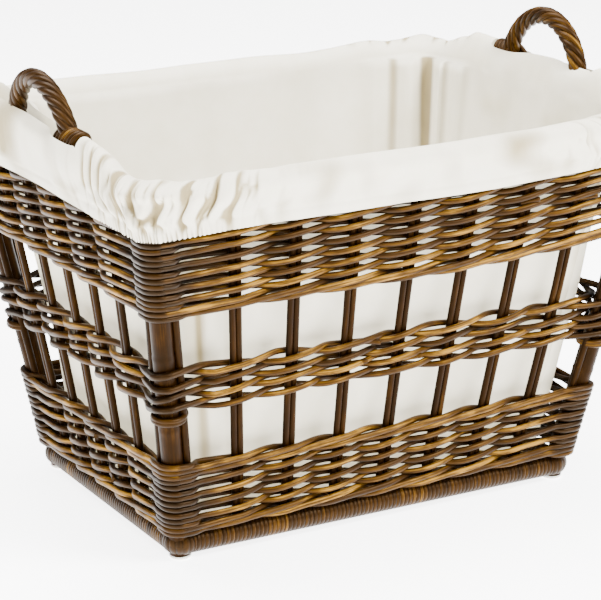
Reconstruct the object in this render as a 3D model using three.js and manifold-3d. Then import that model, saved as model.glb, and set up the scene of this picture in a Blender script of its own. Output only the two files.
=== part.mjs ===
// A rattan laundry basket with a removable cotton liner.
// Millimetres, +Z up. The origin is on the floor under the middle of the basket,
// +X runs along the long side and -Y is the front. All four walls lean outwards.
import * as THREE from "three";
import { mergeVertices } from "three/addons/utils/BufferGeometryUtils.js";
import Module from "manifold-3d";

// ---- Driving dimensions ----
const BASE_LENGTH = 426; // over the outer faces of the weave, at floor level
const BASE_WIDTH = 284;
const LEAN_X = 0.163; // how far the short walls move outwards per millimetre of height
const LEAN_Y = 0.198; // and the long walls
const WEAVE_DEPTH = 18; // outer to inner face of the weave: rod, stake, rod
const CORNER_RADIUS = 15; // outer corner of the weave
const GAP = 0.3; // clearance between pieces that touch

const FOOT_HEIGHT = 4; // plastic glide under each corner post
const FOOT_RADIUS = 10;
const POST_RADIUS = 10; // thick pole in each corner
const POST_INSET = 15; // centre of the post, from the outer faces of both walls
const SIDE_ROD_RADIUS = 3.4; // thin rod on each side of a corner post
const RAIL_RADIUS = 11; // base pole with its cane wrapping
const RAIL_INSET = 13;
const STAKE_RADIUS = 3; // each upright is two such rods side by side
const STAKE_INSET = WEAVE_DEPTH / 2;
const LONG_STAKES = 7; // pairs of rods on each long side
const LONG_STEP = 0.2245; // spacing, as a share of half the wall's length
const SHORT_STAKES = 5;
const SHORT_STEP = 0.2865;

const LOWER_BAND = [26.4, 39, 85.5, 97.5]; // bottom wale, weave, top wale, top
const MIDDLE_BAND = [148.3, 191];
const UPPER_BAND = [240, 253, 327.7]; // bottom wale, weave, top
const BORDER = [328, 350]; // thick rolled border at the top of the wicker
const BORDER_DEPTH = 24;
const BORDER_CHAMFER = 6;

const HANDLE_RADIUS = 8.5;
const HANDLE_HALF_SPAN = 60; // middle of the handle to the middle of a leg
const HANDLE_TOP = 418;
const HANDLE_INSET = 12; // plane of the arch, from the wall's face at the border top

const FLOOR_PANEL = [14, 19]; // woven floor between the base rails
const CROSSBAR_RADIUS = 4.8;
const CROSSBAR_X = 70;

const CLOTH = 1.2; // liner cloth with its seams, as one plain skin
const BAG_INSET = 25.5; // outer face of the bag, from the wall's outer face
const BAG_BOTTOM = 27;
const BAG_TOP = 352; // where the bag meets the turned-over cuff
const LINER_TOP = 362.6;
const CUFF_BOTTOM = 329.5;
const CUFF_REACH = 1.6; // inner face of the cuff, beyond the border's outer face
const HEM_BOTTOM = 319;
const HEM_THICKNESS = 3; // hem channel with its elastic
const SLIT_HALF_LENGTH = 76; // slit that each handle comes through
const SLIT_HALF_WIDTH = 10;

const CORNER_STEPS = 4; // facets in each rounded corner of an outline
const ROUND_SEGMENTS = 12; // facets round a pole

// ---- Materials ----
const material = (color, roughness, metalness = 0) =>
  new THREE.MeshStandardMaterial({ color, roughness, metalness });
const ROD = material(0x7a4f28, 0.5);
const POLE = material(0x5e3a1e, 0.45);
const CANE = material(0x8a5c2c, 0.4);
const COTTON = material(0xf0ece2, 0.9);
const PLASTIC = material(0xe6e4de, 0.35);

const basket = new THREE.Group();
const wasm = await Module();
wasm.setup();

function add(name, geometry, finish) {
  const mesh = new THREE.Mesh(geometry, finish);
  mesh.name = name;
  basket.add(mesh);
}

// ---- Walls and outlines ----
const halfLength = (z) => BASE_LENGTH / 2 + LEAN_X * z;
const halfWidth = (z) => BASE_WIDTH / 2 + LEAN_Y * z;

// Rounded rectangle at height z, set in from the walls' outer faces.
function outline(z, inset) {
  const radius = Math.max(CORNER_RADIUS - inset, 1);
  const x = halfLength(z) - inset - radius;
  const y = halfWidth(z) - inset - radius;
  const points = [];
  for (const [quarter, sx, sy] of [[0, 1, 1], [1, -1, 1], [2, -1, -1], [3, 1, -1]]) {
    for (let step = 0; step <= CORNER_STEPS; step++) {
      const angle = ((quarter + step / CORNER_STEPS) * Math.PI) / 2;
      points.push([sx * x + radius * Math.cos(angle), sy * y + radius * Math.sin(angle), z]);
    }
  }
  return points;
}

// ---- Closed meshes ----
function signedVolume(points, faces) {
  const [a, b, c] = [new THREE.Vector3(), new THREE.Vector3(), new THREE.Vector3()];
  let volume = 0;
  for (let i = 0; i < faces.length; i += 3) {
    a.fromArray(points[faces[i]]);
    b.fromArray(points[faces[i + 1]]);
    c.fromArray(points[faces[i + 2]]);
    volume += a.dot(b.cross(c));
  }
  return volume;
}

function closedMesh(points, faces) {
  if (signedVolume(points, faces) < 0) faces.reverse();
  const geometry = new THREE.BufferGeometry();
  geometry.setAttribute("position", new THREE.Float32BufferAttribute(points.flat(), 3));
  geometry.setIndex(faces);
  return geometry;
}

// Quads that join neighbouring loops of equal length.
function joinLoops(faces, from, to, count) {
  for (let i = 0; i < count; i++) {
    const j = (i + 1) % count;
    faces.push(from + i, from + j, to + j, from + i, to + j, to + i);
  }
}

// A closed section of [inset, z] points carried round the basket.
function ring(section) {
  const loops = section.map(([inset, z]) => outline(z, inset));
  const count = loops[0].length;
  const faces = [];
  loops.forEach((_, k) => joinLoops(faces, k * count, ((k + 1) % loops.length) * count, count));
  return closedMesh(loops.flat(), faces);
}

// A solid between the outlines at two heights.
function block(low, high, inset) {
  const loops = [outline(low, inset), outline(high, inset)];
  const count = loops[0].length;
  const points = [...loops.flat(), [0, 0, low], [0, 0, high]];
  const faces = [];
  joinLoops(faces, 0, count, count);
  for (let i = 0; i < count; i++) {
    const j = (i + 1) % count;
    faces.push(2 * count, j, i, 2 * count + 1, count + i, count + j);
  }
  return closedMesh(points, faces);
}

// The section of a skin of even thickness along a path of [inset, z] points.
function skinSection(path, thickness) {
  const sides = [[], []];
  path.forEach(([inset, z], i) => {
    const before = path[Math.max(i - 1, 0)];
    const after = path[Math.min(i + 1, path.length - 1)];
    const run = Math.hypot(after[0] - before[0], after[1] - before[1]);
    const across = [(after[1] - before[1]) / run, -(after[0] - before[0]) / run];
    [thickness / 2, -thickness / 2].forEach((offset, side) =>
      sides[side].push([inset + across[0] * offset, z + across[1] * offset]));
  });
  return [...sides[0], ...sides[1].reverse()];
}

// ---- Booleans ----
function solid(geometry) {
  const bare = geometry.clone();
  bare.deleteAttribute("normal");
  bare.deleteAttribute("uv");
  const merged = mergeVertices(bare, 1e-3);
  return new wasm.Manifold(new wasm.Mesh({
    numProp: 3,
    vertProperties: new Float32Array(merged.attributes.position.array),
    triVerts: new Uint32Array(merged.index.array),
  }));
}

function subtract(geometry, cutters) {
  const { vertProperties, triVerts } = cutters
    .reduce((body, cutter) => body.subtract(solid(cutter)), solid(geometry))
    .getMesh();
  const cut = new THREE.BufferGeometry();
  cut.setAttribute("position", new THREE.BufferAttribute(vertProperties, 3));
  cut.setIndex(new THREE.BufferAttribute(triVerts, 1));
  return cut;
}

// ---- Uprights ----
// A level section carried up a leaning line, where foot and lean give that line.
function upright(shape, foot, lean, low, high, segments = ROUND_SEGMENTS) {
  const geometry = new THREE.ExtrudeGeometry(shape, {
    depth: high - low, bevelEnabled: false, curveSegments: segments / 2,
  });
  const [x, y] = foot;
  const [dx, dy] = lean;
  return geometry.applyMatrix4(new THREE.Matrix4().set(
    1, 0, dx, x + dx * low,
    0, 1, dy, y + dy * low,
    0, 0, 1, low,
    0, 0, 0, 1,
  ));
}

function circle(radius) {
  const shape = new THREE.Shape();
  shape.absarc(0, 0, radius, 0, 2 * Math.PI);
  return shape;
}

// Two rods side by side, along X, or along Y on the short walls.
function rodPair(alongY) {
  const half = STAKE_RADIUS * 0.97;
  const waist = Math.acos(half / STAKE_RADIUS);
  const turn = alongY ? Math.PI / 2 : 0;
  const centre = (side) => [side * half * Math.cos(turn), side * half * Math.sin(turn)];
  const shape = new THREE.Shape();
  shape.absarc(...centre(1), STAKE_RADIUS, turn - Math.PI + waist, turn + Math.PI - waist);
  shape.absarc(...centre(-1), STAKE_RADIUS, turn + waist, turn + 2 * Math.PI - waist);
  return shape;
}

function rectangle(halfX, halfY) {
  return new THREE.Shape([
    new THREE.Vector2(-halfX, -halfY), new THREE.Vector2(halfX, -halfY),
    new THREE.Vector2(halfX, halfY), new THREE.Vector2(-halfX, halfY),
  ]);
}

const CORNERS = [
  ["front_left", -1, -1], ["front_right", 1, -1], ["back_left", -1, 1], ["back_right", 1, 1],
];
const WEAVE_BOTTOM = LOWER_BAND[0];
const WEAVE_TOP = UPPER_BAND[2];
const weaveCutters = []; // room for every upright, cut from each band

for (const [corner, sx, sy] of CORNERS) {
  const foot = [sx * (BASE_LENGTH / 2 - POST_INSET), sy * (BASE_WIDTH / 2 - POST_INSET)];
  const lean = [sx * LEAN_X, sy * LEAN_Y];
  add(`corner_post_${corner}`, upright(circle(POST_RADIUS), foot, lean, FOOT_HEIGHT, WEAVE_TOP), POLE);
  weaveCutters.push(upright(circle(POST_RADIUS + GAP), foot, lean, 0, BORDER[1]));

  // The thin rods stand against the post, one in each wall.
  const beside = POST_RADIUS + SIDE_ROD_RADIUS + GAP;
  const outward = POST_INSET - STAKE_INSET;
  for (const [wall, dx, dy] of [["long", -sx * beside, sy * outward], ["short", sx * outward, -sy * beside]]) {
    const reach = beside / Math.hypot(dx, dy); // keeps the rod touching the round post
    const rodFoot = [foot[0] + dx * reach, foot[1] + dy * reach];
    add(
      `side_rod_${corner}_${wall}`,
      upright(circle(SIDE_ROD_RADIUS), rodFoot, lean, WEAVE_BOTTOM, WEAVE_TOP, 8),
      ROD,
    );
    weaveCutters.push(upright(circle(SIDE_ROD_RADIUS + GAP), rodFoot, lean, 0, BORDER[1], 8));
  }

  const glide = new THREE.LatheGeometry([
    new THREE.Vector2(0, 0),
    new THREE.Vector2(FOOT_RADIUS - 2, 0),
    new THREE.Vector2(FOOT_RADIUS, 1.6),
    new THREE.Vector2(FOOT_RADIUS - 1, FOOT_HEIGHT - GAP),
    new THREE.Vector2(0, FOOT_HEIGHT - GAP),
  ], ROUND_SEGMENTS);
  glide.rotateX(Math.PI / 2).translate(foot[0] + lean[0] * FOOT_HEIGHT, foot[1] + lean[1] * FOOT_HEIGHT, 0);
  add(`foot_glide_${corner}`, glide, PLASTIC);
}

// Stakes fan out, so that they stay evenly spaced along a wall that grows with height.
function stakes(wall, side, count, step) {
  const alongY = wall === "left" || wall === "right";
  const base = alongY ? BASE_WIDTH / 2 : BASE_LENGTH / 2;
  const across = (alongY ? BASE_LENGTH : BASE_WIDTH) / 2 - STAKE_INSET;
  for (let i = 0; i < count; i++) {
    const share = (i - (count - 1) / 2) * step;
    const foot = alongY ? [side * across, share * base] : [share * base, side * across];
    const lean = alongY ? [side * LEAN_X, share * LEAN_Y] : [share * LEAN_X, side * LEAN_Y];
    add(`stake_${wall}_${i + 1}`, upright(rodPair(alongY), foot, lean, WEAVE_BOTTOM, WEAVE_TOP, 10), ROD);
    const [wide, deep] = [2 * STAKE_RADIUS + GAP, STAKE_RADIUS + GAP];
    const room = alongY ? rectangle(deep, wide) : rectangle(wide, deep);
    weaveCutters.push(upright(room, foot, lean, 0, BORDER[1]));
  }
}
stakes("front", -1, LONG_STAKES, LONG_STEP);
stakes("back", 1, LONG_STAKES, LONG_STEP);
stakes("left", -1, SHORT_STAKES, SHORT_STEP);
stakes("right", 1, SHORT_STAKES, SHORT_STEP);

// ---- Woven bands ----
function band(name, low, high) {
  const section = [[0, low], [0, high], [WEAVE_DEPTH, high], [WEAVE_DEPTH, low]];
  add(name, subtract(ring(section), weaveCutters), ROD);
}
band("lower_bottom_wale", LOWER_BAND[0], LOWER_BAND[1] - GAP);
band("lower_weave", LOWER_BAND[1], LOWER_BAND[2] - GAP);
band("lower_top_wale", LOWER_BAND[2], LOWER_BAND[3]);
band("middle_wale", MIDDLE_BAND[0], MIDDLE_BAND[1]);
band("upper_bottom_wale", UPPER_BAND[0], UPPER_BAND[1] - GAP);
band("upper_weave", UPPER_BAND[1], UPPER_BAND[2]);

// ---- Handles and border ----
const HANDLE_X = halfLength(BORDER[1]) - HANDLE_INSET;
const HANDLE_FOOT = BORDER[0] + GAP; // the legs go down through the border
const HANDLE_CROWN = HANDLE_TOP - HANDLE_RADIUS;

function archPath(x) {
  const shoulder = BORDER[1];
  const points = [new THREE.Vector3(x, -HANDLE_HALF_SPAN, HANDLE_FOOT)];
  const steps = 8;
  for (let i = 0; i <= steps; i++) {
    const angle = Math.PI * (1 - i / steps);
    points.push(new THREE.Vector3(
      x, HANDLE_HALF_SPAN * Math.cos(angle), shoulder + (HANDLE_CROWN - shoulder) * Math.sin(angle),
    ));
  }
  points.push(new THREE.Vector3(x, HANDLE_HALF_SPAN, HANDLE_FOOT));
  return new THREE.CatmullRomCurve3(points, false, "centripetal");
}

const legRoom = [];
for (const [name, side] of [["left", -1], ["right", 1]]) {
  const x = side * HANDLE_X;
  const arch = new THREE.ExtrudeGeometry(circle(HANDLE_RADIUS), {
    steps: 24, extrudePath: archPath(x), curveSegments: 5, bevelEnabled: false,
  });
  add(`handle_${name}`, arch, ROD);
  for (const end of [-1, 1]) {
    const foot = [x, end * HANDLE_HALF_SPAN];
    legRoom.push(upright(circle(HANDLE_RADIUS + 1), foot, [0, 0], BORDER[0] - 5, BORDER[1] + 5));
  }
}

const [borderLow, borderHigh] = BORDER;
const borderSection = [
  [0, borderLow + BORDER_CHAMFER], [0, borderHigh - BORDER_CHAMFER],
  [BORDER_CHAMFER, borderHigh], [BORDER_DEPTH - BORDER_CHAMFER, borderHigh],
  [BORDER_DEPTH, borderHigh - BORDER_CHAMFER], [BORDER_DEPTH, borderLow + BORDER_CHAMFER],
  [BORDER_DEPTH - BORDER_CHAMFER, borderLow], [BORDER_CHAMFER, borderLow],
];
add("top_border", subtract(ring(borderSection), legRoom), ROD);

// ---- Base ----
const RAIL_Z = FOOT_HEIGHT + RAIL_RADIUS;
const postRoom = CORNERS.map(([, sx, sy]) => upright(
  circle(POST_RADIUS + GAP),
  [sx * (BASE_LENGTH / 2 - POST_INSET), sy * (BASE_WIDTH / 2 - POST_INSET)],
  [sx * LEAN_X, sy * LEAN_Y], 0, BORDER[0],
));
const RAIL_END = RAIL_INSET + RAIL_RADIUS + GAP; // meets the post, and clears the next rail

for (const [name, side] of [["front", -1], ["back", 1]]) {
  const rail = new THREE.CylinderGeometry(
    RAIL_RADIUS, RAIL_RADIUS, 2 * (halfLength(RAIL_Z) - RAIL_END), ROUND_SEGMENTS,
  );
  rail.rotateZ(Math.PI / 2).translate(0, side * (halfWidth(RAIL_Z) - RAIL_INSET), RAIL_Z);
  add(`base_rail_${name}`, subtract(rail, postRoom), CANE);
}
for (const [name, side] of [["left", -1], ["right", 1]]) {
  const rail = new THREE.CylinderGeometry(
    RAIL_RADIUS, RAIL_RADIUS, 2 * (halfWidth(RAIL_Z) - RAIL_END), ROUND_SEGMENTS,
  );
  rail.translate(side * (halfLength(RAIL_Z) - RAIL_INSET), 0, RAIL_Z);
  add(`base_rail_${name}`, subtract(rail, postRoom), CANE);
}

const INSIDE_RAILS = RAIL_INSET + RAIL_RADIUS + 2 * GAP;
const [panelLow, panelHigh] = FLOOR_PANEL;
const panel = new THREE.BoxGeometry(
  2 * (halfLength(RAIL_Z) - INSIDE_RAILS), 2 * (halfWidth(RAIL_Z) - INSIDE_RAILS), panelHigh - panelLow,
);
add("floor_panel", panel.translate(0, 0, (panelLow + panelHigh) / 2), ROD);
for (const [name, side] of [["left", -1], ["right", 1]]) {
  const bar = new THREE.CylinderGeometry(
    CROSSBAR_RADIUS, CROSSBAR_RADIUS, 2 * (halfWidth(RAIL_Z) - INSIDE_RAILS), 10,
  );
  bar.translate(side * CROSSBAR_X, 0, panelLow - GAP - CROSSBAR_RADIUS);
  add(`floor_crossbar_${name}`, bar, POLE);
}

// ---- Liner ----
const bag = subtract(
  block(BAG_BOTTOM, BAG_TOP, BAG_INSET),
  [block(BAG_BOTTOM + CLOTH, BAG_TOP + 1, BAG_INSET + CLOTH)],
);
add("liner_bag", bag, COTTON);

// The cuff hangs straight down from the border's widest point, clear of the leaning wall.
const hanging = (z, reach) => LEAN_Y * (z - BORDER[1]) - reach;
const middle = CLOTH / 2;
const cuffPath = [
  [BAG_INSET + middle, BAG_TOP + GAP],
  [BAG_INSET - 0.5, LINER_TOP - 4],
  [BAG_INSET - 6, LINER_TOP - middle],
  [4, LINER_TOP - middle],
  [-0.5, LINER_TOP - 5],
  [hanging(BORDER[1], CUFF_REACH + middle), BORDER[1]],
  [hanging(CUFF_BOTTOM, CUFF_REACH + middle), CUFF_BOTTOM],
];
const slits = [-1, 1].map((side) => new THREE.BoxGeometry(
  2 * SLIT_HALF_WIDTH, 2 * SLIT_HALF_LENGTH, 2 * (LINER_TOP - BORDER[1]),
).translate(side * HANDLE_X, 0, LINER_TOP));
add("liner_cuff", subtract(ring(skinSection(cuffPath, CLOTH)), slits), COTTON);

const hemMiddle = CUFF_REACH + HEM_THICKNESS / 2;
const hemPath = [CUFF_BOTTOM - GAP, HEM_BOTTOM].map((z) => [hanging(z, hemMiddle), z]);
add("liner_elastic_hem", ring(skinSection(hemPath, HEM_THICKNESS)), COTTON);

export default basket;
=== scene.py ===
"""A stained rattan laundry basket with a cotton liner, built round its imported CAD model."""
import math

import bpy
import numpy as np
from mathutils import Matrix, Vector


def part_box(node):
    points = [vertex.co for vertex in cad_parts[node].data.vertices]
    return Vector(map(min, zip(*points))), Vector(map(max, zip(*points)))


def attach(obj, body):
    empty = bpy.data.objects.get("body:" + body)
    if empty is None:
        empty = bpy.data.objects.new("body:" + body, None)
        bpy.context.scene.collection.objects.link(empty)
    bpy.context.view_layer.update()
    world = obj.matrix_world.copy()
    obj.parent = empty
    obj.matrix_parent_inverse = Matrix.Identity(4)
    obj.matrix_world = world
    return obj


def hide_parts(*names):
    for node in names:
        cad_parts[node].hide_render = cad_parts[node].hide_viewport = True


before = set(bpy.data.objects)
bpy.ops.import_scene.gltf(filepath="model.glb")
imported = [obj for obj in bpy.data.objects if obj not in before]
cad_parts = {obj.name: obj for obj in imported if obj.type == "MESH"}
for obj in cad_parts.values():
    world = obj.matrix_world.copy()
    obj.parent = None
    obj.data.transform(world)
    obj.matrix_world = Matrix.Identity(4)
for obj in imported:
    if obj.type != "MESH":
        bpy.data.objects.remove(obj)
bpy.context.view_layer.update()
MM = 0.001
rng = np.random.default_rng(12)


# ---------------------------------------------------------------- sizes, in millimetres
def cad_box(node):
    """The low and high corners of a CAD node's box, in millimetres."""
    low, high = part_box(node)
    return np.array(low) / MM, np.array(high) / MM


def extent(node, axis, side):
    """One side of a CAD node's box; side is 0 for low and 1 for high."""
    return cad_box(node)[side][axis]


def levels(node):
    """The heights of a CAD node's underside and top."""
    return extent(node, 2, 0), extent(node, 2, 1)


LOWER_TOP = extent("lower_top_wale", 2, 1)
UPPER_TOP = extent("upper_weave", 2, 1)
LEAN_X, LEAN_Y = [
    (extent("upper_weave", axis, 1) - extent("lower_top_wale", axis, 1)) / (UPPER_TOP - LOWER_TOP)
    for axis in (0, 1)
]
HALF_LENGTH = extent("lower_top_wale", 0, 1) - LEAN_X * LOWER_TOP
HALF_WIDTH = extent("lower_top_wale", 1, 1) - LEAN_Y * LOWER_TOP
POST_INSET = 15.0
POST_RADIUS = 10.0
STAKE_INSET = 9.0
STAKE_RADIUS = 3.0
SIDE_ROD_RADIUS = 3.4
LONG_STAKES, LONG_STEP = 7, 0.2245
SHORT_STAKES, SHORT_STEP = 5, 0.2865
CURVE_RADIUS = POST_INSET - STAKE_INSET  # corner of the line that the stakes stand on
ROD = 2.7  # weaving rod radius
SWING = 6.0  # how far a weaver passes outside or inside the line of stakes
POST_SWING = 6.6  # and how far it passes outside a post
ROD_GAP = 0.5  # between the border and the tops of the uprights
WEAVE_BOTTOM = extent("lower_bottom_wale", 2, 0)
BORDER_LOW, BORDER_HIGH = levels("top_border")


def half_length(z):
    return HALF_LENGTH + LEAN_X * z


def half_width(z):
    return HALF_WIDTH + LEAN_Y * z


def smoothstep(value, low, high):
    share = np.clip((value - low) / (high - low), 0, 1)
    return share * share * (3 - 2 * share)


RIM_LIFT = 13.0  # the wicker was woven higher towards the front right corner
LIFT_FROM_X, LIFT_RUN_X = 30.0, 235.0
LIFT_FROM_Y, LIFT_RUN_Y = -205.0, 410.0
LIFT_HEIGHTS = (195, 245)  # none below the first, all of it above the second


def lifted(points):
    """Raises the upper wicker and the liner's rim towards the front right corner."""
    x, y, z = points[..., 0], points[..., 1], points[..., 2]
    rightwards = np.clip((x - LIFT_FROM_X) / LIFT_RUN_X, 0, 1) ** 1.6
    share = rightwards * (1 - 0.75 * np.clip((y - LIFT_FROM_Y) / LIFT_RUN_Y, 0, 1))
    points = points.copy()
    points[..., 2] += RIM_LIFT * share * smoothstep(z, *LIFT_HEIGHTS)
    return points


# ---------------------------------------------------------------- materials
def new_material(name, roughness):
    made = bpy.data.materials.new(name)
    made.use_nodes = True
    shader = made.node_tree.nodes["Principled BSDF"]
    shader.inputs["Roughness"].default_value = roughness
    return made, made.node_tree.nodes, shader


def join(source, output, target, place):
    source.id_data.links.new(source.outputs[output], target.inputs[place])


def settle(made, **values):
    """Sets a node's properties, and the inputs whose names have spaces for underscores."""
    for key, value in values.items():
        if hasattr(made, key):
            setattr(made, key, value)
        else:
            made.inputs[key.replace("_", " ")].default_value = value
    return made


def node(nodes, kind, **values):
    return settle(nodes.new(kind), **values)


def sum_of(nodes, first, second):
    """Adds the outputs of two nodes, each given with the output's name or number."""
    made = node(nodes, "ShaderNodeMath", operation="ADD")
    join(*first, made, 0)
    join(*second, made, 1)
    return made


def spread(nodes, source, amount):
    """Turns a noise's values, 0 to 1, into values from minus half the amount to half of it."""
    made = node(nodes, "ShaderNodeMath", operation="MULTIPLY_ADD")
    made.inputs[1].default_value = amount
    made.inputs[2].default_value = -amount / 2
    join(source, "Fac", made, 0)
    return made


def noise_along(nodes, place, scale, **values):
    """Noise that is stretched by a different amount along each axis of the rod."""
    stretch = node(nodes, "ShaderNodeMapping", Scale=scale)
    made = node(nodes, "ShaderNodeTexNoise", Scale=1.0, **values)
    join(place, "Vector", stretch, "Vector")
    join(stretch, "Vector", made, "Vector")
    return made


def ramp(nodes, stops):
    made = nodes.new("ShaderNodeValToRGB")
    elements = made.color_ramp.elements
    while len(elements) < len(stops):
        elements.new(0.5)
    for element, (place, colour) in zip(elements, stops):
        element.position = place
        element.color = (*colour, 1)
    return made


def rattan(name, stops, roughness=0.42, streak=1.0, bump=0.35, gloss=0.13):
    """Stained rod: streaks along it, blotches of stain, and a tone read from the mesh, partly each rod's
    own and partly painted highlight and shade.
    """
    made, nodes, shader = new_material(name, roughness)
    place = node(nodes, "ShaderNodeAttribute", attribute_name="rod")
    tone = node(nodes, "ShaderNodeAttribute", attribute_name="tone")
    streaks = noise_along(nodes, place, (22, 620, 620), Detail=4.0, Roughness=0.6)
    blotches = noise_along(nodes, place, (70, 130, 130), Detail=3.0, Roughness=0.55)
    streak_part = spread(nodes, streaks, 1.4 * streak)
    blotch_part = spread(nodes, blotches, 0.6)
    total = sum_of(nodes, (streak_part, 0), (blotch_part, 0))
    level = sum_of(nodes, (total, 0), (tone, "Fac"))
    colours = ramp(nodes, stops)
    join(level, 0, colours, "Fac")
    join(colours, "Color", shader, "Base Color")
    relief = node(nodes, "ShaderNodeBump", Strength=bump, Distance=0.0006)
    join(streaks, "Fac", relief, "Height")
    join(relief, "Normal", shader, "Normal")
    settle(shader, Specular_IOR_Level=gloss, Specular_Tint=(1.0, 0.66, 0.36, 1))
    return made


WEAVE_STOPS = [
    (0.0, (0.0042, 0.0015, 0.0002)),
    (0.28, (0.0115, 0.0042, 0.0004)),
    (0.52, (0.0215, 0.0082, 0.0005)),
    (0.76, (0.062, 0.0270, 0.0019)),
    (1.0, (0.25, 0.126, 0.014)),
]
POLE_STOPS = [
    (0.0, (0.0040, 0.0014, 0.0002)),
    (0.4, (0.0090, 0.0030, 0.0002)),
    (0.75, (0.028, 0.0106, 0.0007)),
    (1.0, (0.13, 0.062, 0.007)),
]
WEAVE = rattan("woven_rattan", WEAVE_STOPS)
POLE = rattan("rattan_pole", POLE_STOPS, roughness=0.4, streak=0.8, bump=0.2, gloss=0.05)
CANE = rattan("cane_wrap", WEAVE_STOPS, bump=0.2)


def cotton():
    """Cream cloth: a fine weave, faint slubs, and painted shade, warmer and darker, in its folds' valleys.
    """
    made, nodes, shader = new_material("cotton_liner", 0.92)
    place = nodes.new("ShaderNodeTexCoord")
    threads = {"Scale": 420.0, "Distortion": 1.2, "Detail": 1.0}
    warp = node(nodes, "ShaderNodeTexWave", **threads)
    weft = node(nodes, "ShaderNodeTexWave", bands_direction="Z", **threads)
    slub = node(nodes, "ShaderNodeTexNoise", Scale=60.0, Detail=3.0)
    for pattern in (warp, weft, slub):
        join(place, "Object", pattern, "Vector")
    both = sum_of(nodes, (warp, "Fac"), (weft, "Fac"))
    relief = node(nodes, "ShaderNodeBump", Strength=0.12, Distance=0.0003)
    join(both, 0, relief, "Height")
    join(relief, "Normal", shader, "Normal")
    colours = ramp(nodes, [(0.25, (0.88, 0.825, 0.665)), (0.75, (0.93, 0.88, 0.735))])
    join(slub, "Fac", colours, "Fac")
    # Painted shade: the mesh's tone darkens and warms the cloth in its folds' valleys.
    painted_fold_shade = node(nodes, "ShaderNodeAttribute", attribute_name="tone")
    depth = ramp(nodes, [(0.0, (1, 1, 1)), (1.0, (0.40, 0.34, 0.215))])
    join(painted_fold_shade, "Fac", depth, "Fac")
    shaded = node(nodes, "ShaderNodeMix", data_type="RGBA", blend_type="MULTIPLY", Factor=1.0)
    join(colours, "Color", shaded, "A")
    join(depth, "Color", shaded, "B")
    join(shaded, "Result", shader, "Base Color")
    settle(shader, Sheen_Weight=0.1, Sheen_Roughness=0.5)
    through = nodes.new("ShaderNodeBsdfTranslucent")
    join(shaded, "Result", through, "Color")
    join(relief, "Normal", through, "Normal")
    both_sides = node(nodes, "ShaderNodeMixShader", Fac=0.25)
    join(shader, "BSDF", both_sides, 1)
    join(through, "BSDF", both_sides, 2)
    join(both_sides, "Shader", nodes["Material Output"], "Surface")
    return made


def plastic():
    made, nodes, shader = new_material("plastic_glide", 0.35)
    cloud = node(nodes, "ShaderNodeTexNoise", Scale=90.0, Detail=2.0)
    colours = ramp(nodes, [(0.3, (0.60, 0.58, 0.52)), (0.7, (0.72, 0.70, 0.65))])
    join(cloud, "Fac", colours, "Fac")
    join(colours, "Color", shader, "Base Color")
    settle(shader, Subsurface_Weight=0.2, Subsurface_Scale=0.002)
    return made


COTTON = cotton()
PLASTIC = plastic()


# ---------------------------------------------------------------- meshes
WORN_AND_LIT_ANGLE = math.radians(40)  # round a level rod, from straight outwards towards the top: the side made paler, partly as rubbed stain and partly as painted highlight
EAST, NORTH, UP = np.eye(3)


def circle(angle, first, second):
    """The directions at these angles, turning from the first one towards the second."""
    return np.cos(angle)[:, None] * first + np.sin(angle)[:, None] * second


def run_along(path):
    """The distance along a path at each of its points."""
    return np.concatenate([[0], np.cumsum(np.linalg.norm(np.diff(path, axis=0), axis=1))])


def unit(vectors):
    return vectors / np.maximum(np.linalg.norm(vectors, axis=1, keepdims=True), 1e-9)


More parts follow.
